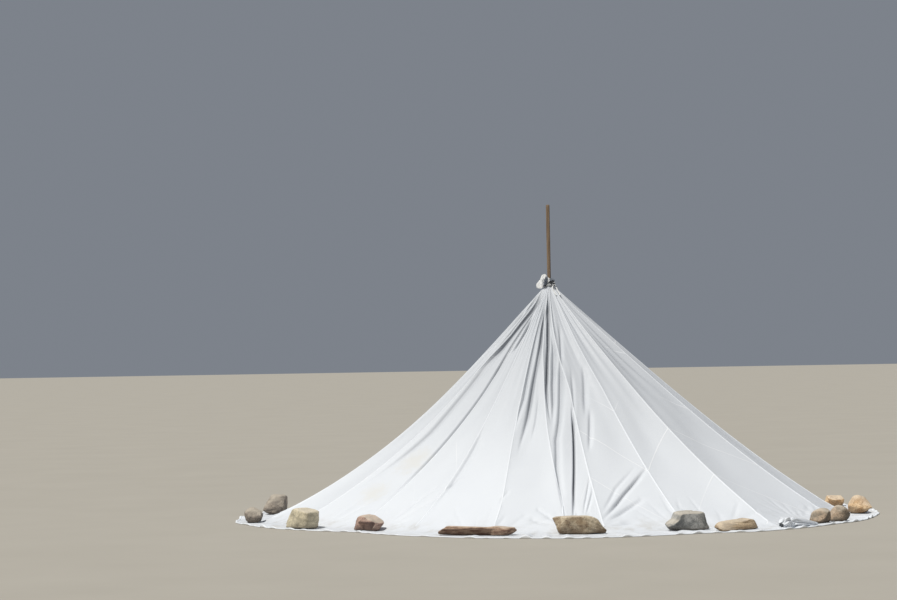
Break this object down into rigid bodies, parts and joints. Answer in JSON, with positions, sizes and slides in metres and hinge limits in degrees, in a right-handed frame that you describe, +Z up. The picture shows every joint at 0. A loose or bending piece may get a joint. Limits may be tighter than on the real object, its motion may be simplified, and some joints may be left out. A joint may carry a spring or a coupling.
{
  "type": "nomad parachute tent",
  "caption": "White cloth tent of sewn parachute gores, gathered and lashed to a centre pole, its hem spread on the ground under loose stones.",
  "frame": {"origin": "foot of the centre pole at ground level", "axes": "+Z up along the pole, -Y towards the front with the middle boulder, +X to the right seen from there"},
  "size_m": [6.8721, 6.9221, 3.37],
  "materials": {
    "canopy_cloth": "thin white nylon parachute cloth, faintly glossy, with yellowish stains",
    "seam_tape": "white woven nylon tape sewn along seams and hem",
    "pole_wood": "peeled, sun-greyed round timber",
    "lashing_cord": "dark twisted cord, worn",
    "grey_stone": "rough grey field stone",
    "brown_stone": "rough brown layered field stone",
    "pale_stone": "pale, speckled field stone",
    "tan_stone": "weathered tan field stone",
    "orange_stone": "smooth orange-tan boulder"
  },
  "bodies": {
    "root": {"centre_pole": "pole_wood", "crown_lashing": "lashing_cord", "crown_ruff": "canopy_cloth", "gore_01": "canopy_cloth", "gore_02": "canopy_cloth", "gore_03": "canopy_cloth", "gore_04": "canopy_cloth", "gore_05": "canopy_cloth", "gore_06": "canopy_cloth", "gore_07": "canopy_cloth", "gore_08": "canopy_cloth", "gore_09": "canopy_cloth", "gore_10": "canopy_cloth", "gore_11": "canopy_cloth", "gore_12": "canopy_cloth", "gore_13": "canopy_cloth", "gore_14": "canopy_cloth", "gore_15": "canopy_cloth", "gore_16": "canopy_cloth", "gore_17": "canopy_cloth", "gore_18": "canopy_cloth", "gore_19": "canopy_cloth", "gore_20": "canopy_cloth", "gore_21": "canopy_cloth", "gore_22": "canopy_cloth", "gore_23": "canopy_cloth", "gore_24": "canopy_cloth", "hem_band": "seam_tape", "hem_roll": "canopy_cloth", "lashing_tail_left": "lashing_cord", "lashing_tail_right": "lashing_cord", "seam_tapes": "seam_tape", "stone_brown_block": "brown_stone", "stone_grey_block": "grey_stone", "stone_long_slab": "brown_stone", "stone_middle_boulder": "tan_stone", "stone_pale_block": "pale_stone", "stone_tan_slab": "tan_stone", "stones_back": "grey_stone", "stones_left_pair": "grey_stone", "stones_right_end": "orange_stone", "stones_right_pair": "pale_stone"}
  },
  "joints": []
}
